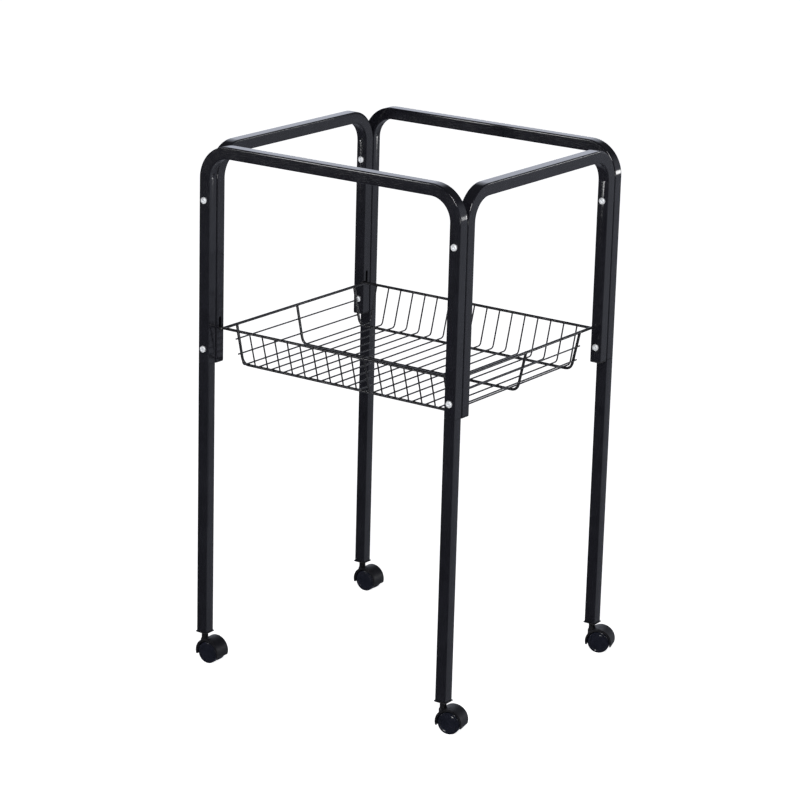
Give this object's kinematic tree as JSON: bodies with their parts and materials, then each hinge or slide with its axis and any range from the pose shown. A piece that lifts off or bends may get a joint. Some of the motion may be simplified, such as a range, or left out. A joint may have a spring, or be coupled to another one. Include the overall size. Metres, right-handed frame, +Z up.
{
  "type": "rolling printer stand",
  "caption": "Open rolling stand of bolted square-tube hoops with a hooked wire basket at mid height and swivel twin-wheel casters.",
  "frame": {"origin": "on the floor, at the middle of the box round the whole stand with its casters trailing to +X", "axes": "+Z up, +X along the front rail to the right, +Y from the front hoop to the back hoop"},
  "size_m": [0.4576, 0.4186, 0.752],
  "materials": {
    "frame_paint": "glossy black powder coat",
    "basket_coating": "semi-gloss black dipped coating",
    "zinc": "bright zinc plate",
    "steel": "plain steel",
    "black_plastic": "satin moulded",
    "caster_plastic": "satin moulded nylon",
    "wheel_plastic": "smooth moulded nylon"
  },
  "bodies": {
    "stand": {"front_hoop": "frame_paint", "back_hoop": "frame_paint", "left_hoop": "frame_paint", "right_hoop": "frame_paint", "wire_basket": "basket_coating", "lower_leg_front_left": "frame_paint", "end_cap_front_left": "black_plastic", "upper_bolt_front_left": "zinc", "lower_bolt_front_left": "zinc", "rivet_nut_front_left": "zinc", "lower_nut_front_left": "zinc", "caster_socket_front_left": "black_plastic", "lower_leg_front_right": "frame_paint", "end_cap_front_right": "black_plastic", "upper_bolt_front_right": "zinc", "lower_bolt_front_right": "zinc", "rivet_nut_front_right": "zinc", "lower_nut_front_right": "zinc", "caster_socket_front_right": "black_plastic", "lower_leg_back_left": "frame_paint", "end_cap_back_left": "black_plastic", "upper_bolt_back_left": "zinc", "lower_bolt_back_left": "zinc", "rivet_nut_back_left": "zinc", "lower_nut_back_left": "zinc", "caster_socket_back_left": "black_plastic", "lower_leg_back_right": "frame_paint", "end_cap_back_right": "black_plastic", "upper_bolt_back_right": "zinc", "lower_bolt_back_right": "zinc", "rivet_nut_back_right": "zinc", "lower_nut_back_right": "zinc", "caster_socket_back_right": "black_plastic"},
    "front_left_caster": {"caster_stem_front_left": "steel", "caster_body_front_left": "caster_plastic", "caster_axle_front_left": "steel"},
    "front_left_wheel_a": {"caster_wheel_a_front_left": "wheel_plastic"},
    "front_left_wheel_b": {"caster_wheel_b_front_left": "wheel_plastic"},
    "front_right_caster": {"caster_stem_front_right": "steel", "caster_body_front_right": "caster_plastic", "caster_axle_front_right": "steel"},
    "front_right_wheel_a": {"caster_wheel_a_front_right": "wheel_plastic"},
    "front_right_wheel_b": {"caster_wheel_b_front_right": "wheel_plastic"},
    "back_left_caster": {"caster_stem_back_left": "steel", "caster_body_back_left": "caster_plastic", "caster_axle_back_left": "steel"},
    "back_left_wheel_a": {"caster_wheel_a_back_left": "wheel_plastic"},
    "back_left_wheel_b": {"caster_wheel_b_back_left": "wheel_plastic"},
    "back_right_caster": {"caster_stem_back_right": "steel", "caster_body_back_right": "caster_plastic", "caster_axle_back_right": "steel"},
    "back_right_wheel_a": {"caster_wheel_a_back_right": "wheel_plastic"},
    "back_right_wheel_b": {"caster_wheel_b_back_right": "wheel_plastic"}
  },
  "joints": [
    {"name": "front_left_swivel", "type": "hinge", "parent": "stand", "child": "front_left_caster", "pos_m": [-0.2186, -0.1956, 0.05], "axis": [0, 0, 1], "continuous": true},
    {"name": "front_left_wheel_a_roll", "type": "hinge", "parent": "front_left_caster", "child": "front_left_wheel_a", "pos_m": [-0.2059, -0.19538, 0.01586], "axis": [-0.0175, 0.9998, 0], "continuous": true},
    {"name": "front_left_wheel_b_roll", "type": "hinge", "parent": "front_left_caster", "child": "front_left_wheel_b", "pos_m": [-0.2059, -0.19538, 0.01586], "axis": [-0.0175, 0.9998, 0], "continuous": true},
    {"name": "front_right_swivel", "type": "hinge", "parent": "stand", "child": "front_right_caster", "pos_m": [0.1944, -0.1956, 0.05], "axis": [0, 0, 1], "continuous": true},
    {"name": "front_right_wheel_a_roll", "type": "hinge", "parent": "front_right_caster", "child": "front_right_wheel_a", "pos_m": [0.20683, -0.19296, 0.01586], "axis": [-0.2079, 0.9781, 0], "continuous": true},
    {"name": "front_right_wheel_b_roll", "type": "hinge", "parent": "front_right_caster", "child": "front_right_wheel_b", "pos_m": [0.20683, -0.19296, 0.01586], "axis": [-0.2079, 0.9781, 0], "continuous": true},
    {"name": "back_left_swivel", "type": "hinge", "parent": "stand", "child": "back_left_caster", "pos_m": [-0.2186, 0.1874, 0.05], "axis": [0, 0, 1], "continuous": true},
    {"name": "back_left_wheel_a_roll", "type": "hinge", "parent": "back_left_caster", "child": "back_left_wheel_a", "pos_m": [-0.2059, 0.1874, 0.01586], "axis": [0, 1, 0], "continuous": true},
    {"name": "back_left_wheel_b_roll", "type": "hinge", "parent": "back_left_caster", "child": "back_left_wheel_b", "pos_m": [-0.2059, 0.1874, 0.01586], "axis": [0, 1, 0], "continuous": true},
    {"name": "back_right_swivel", "type": "hinge", "parent": "stand", "child": "back_right_caster", "pos_m": [0.1944, 0.1874, 0.05], "axis": [0, 0, 1], "continuous": true},
    {"name": "back_right_wheel_a_roll", "type": "hinge", "parent": "back_right_caster", "child": "back_right_wheel_a", "pos_m": [0.20648, 0.19132, 0.01586], "axis": [-0.309, 0.9511, 0], "continuous": true},
    {"name": "back_right_wheel_b_roll", "type": "hinge", "parent": "back_right_caster", "child": "back_right_wheel_b", "pos_m": [0.20648, 0.19132, 0.01586], "axis": [-0.309, 0.9511, 0], "continuous": true}
  ]
}
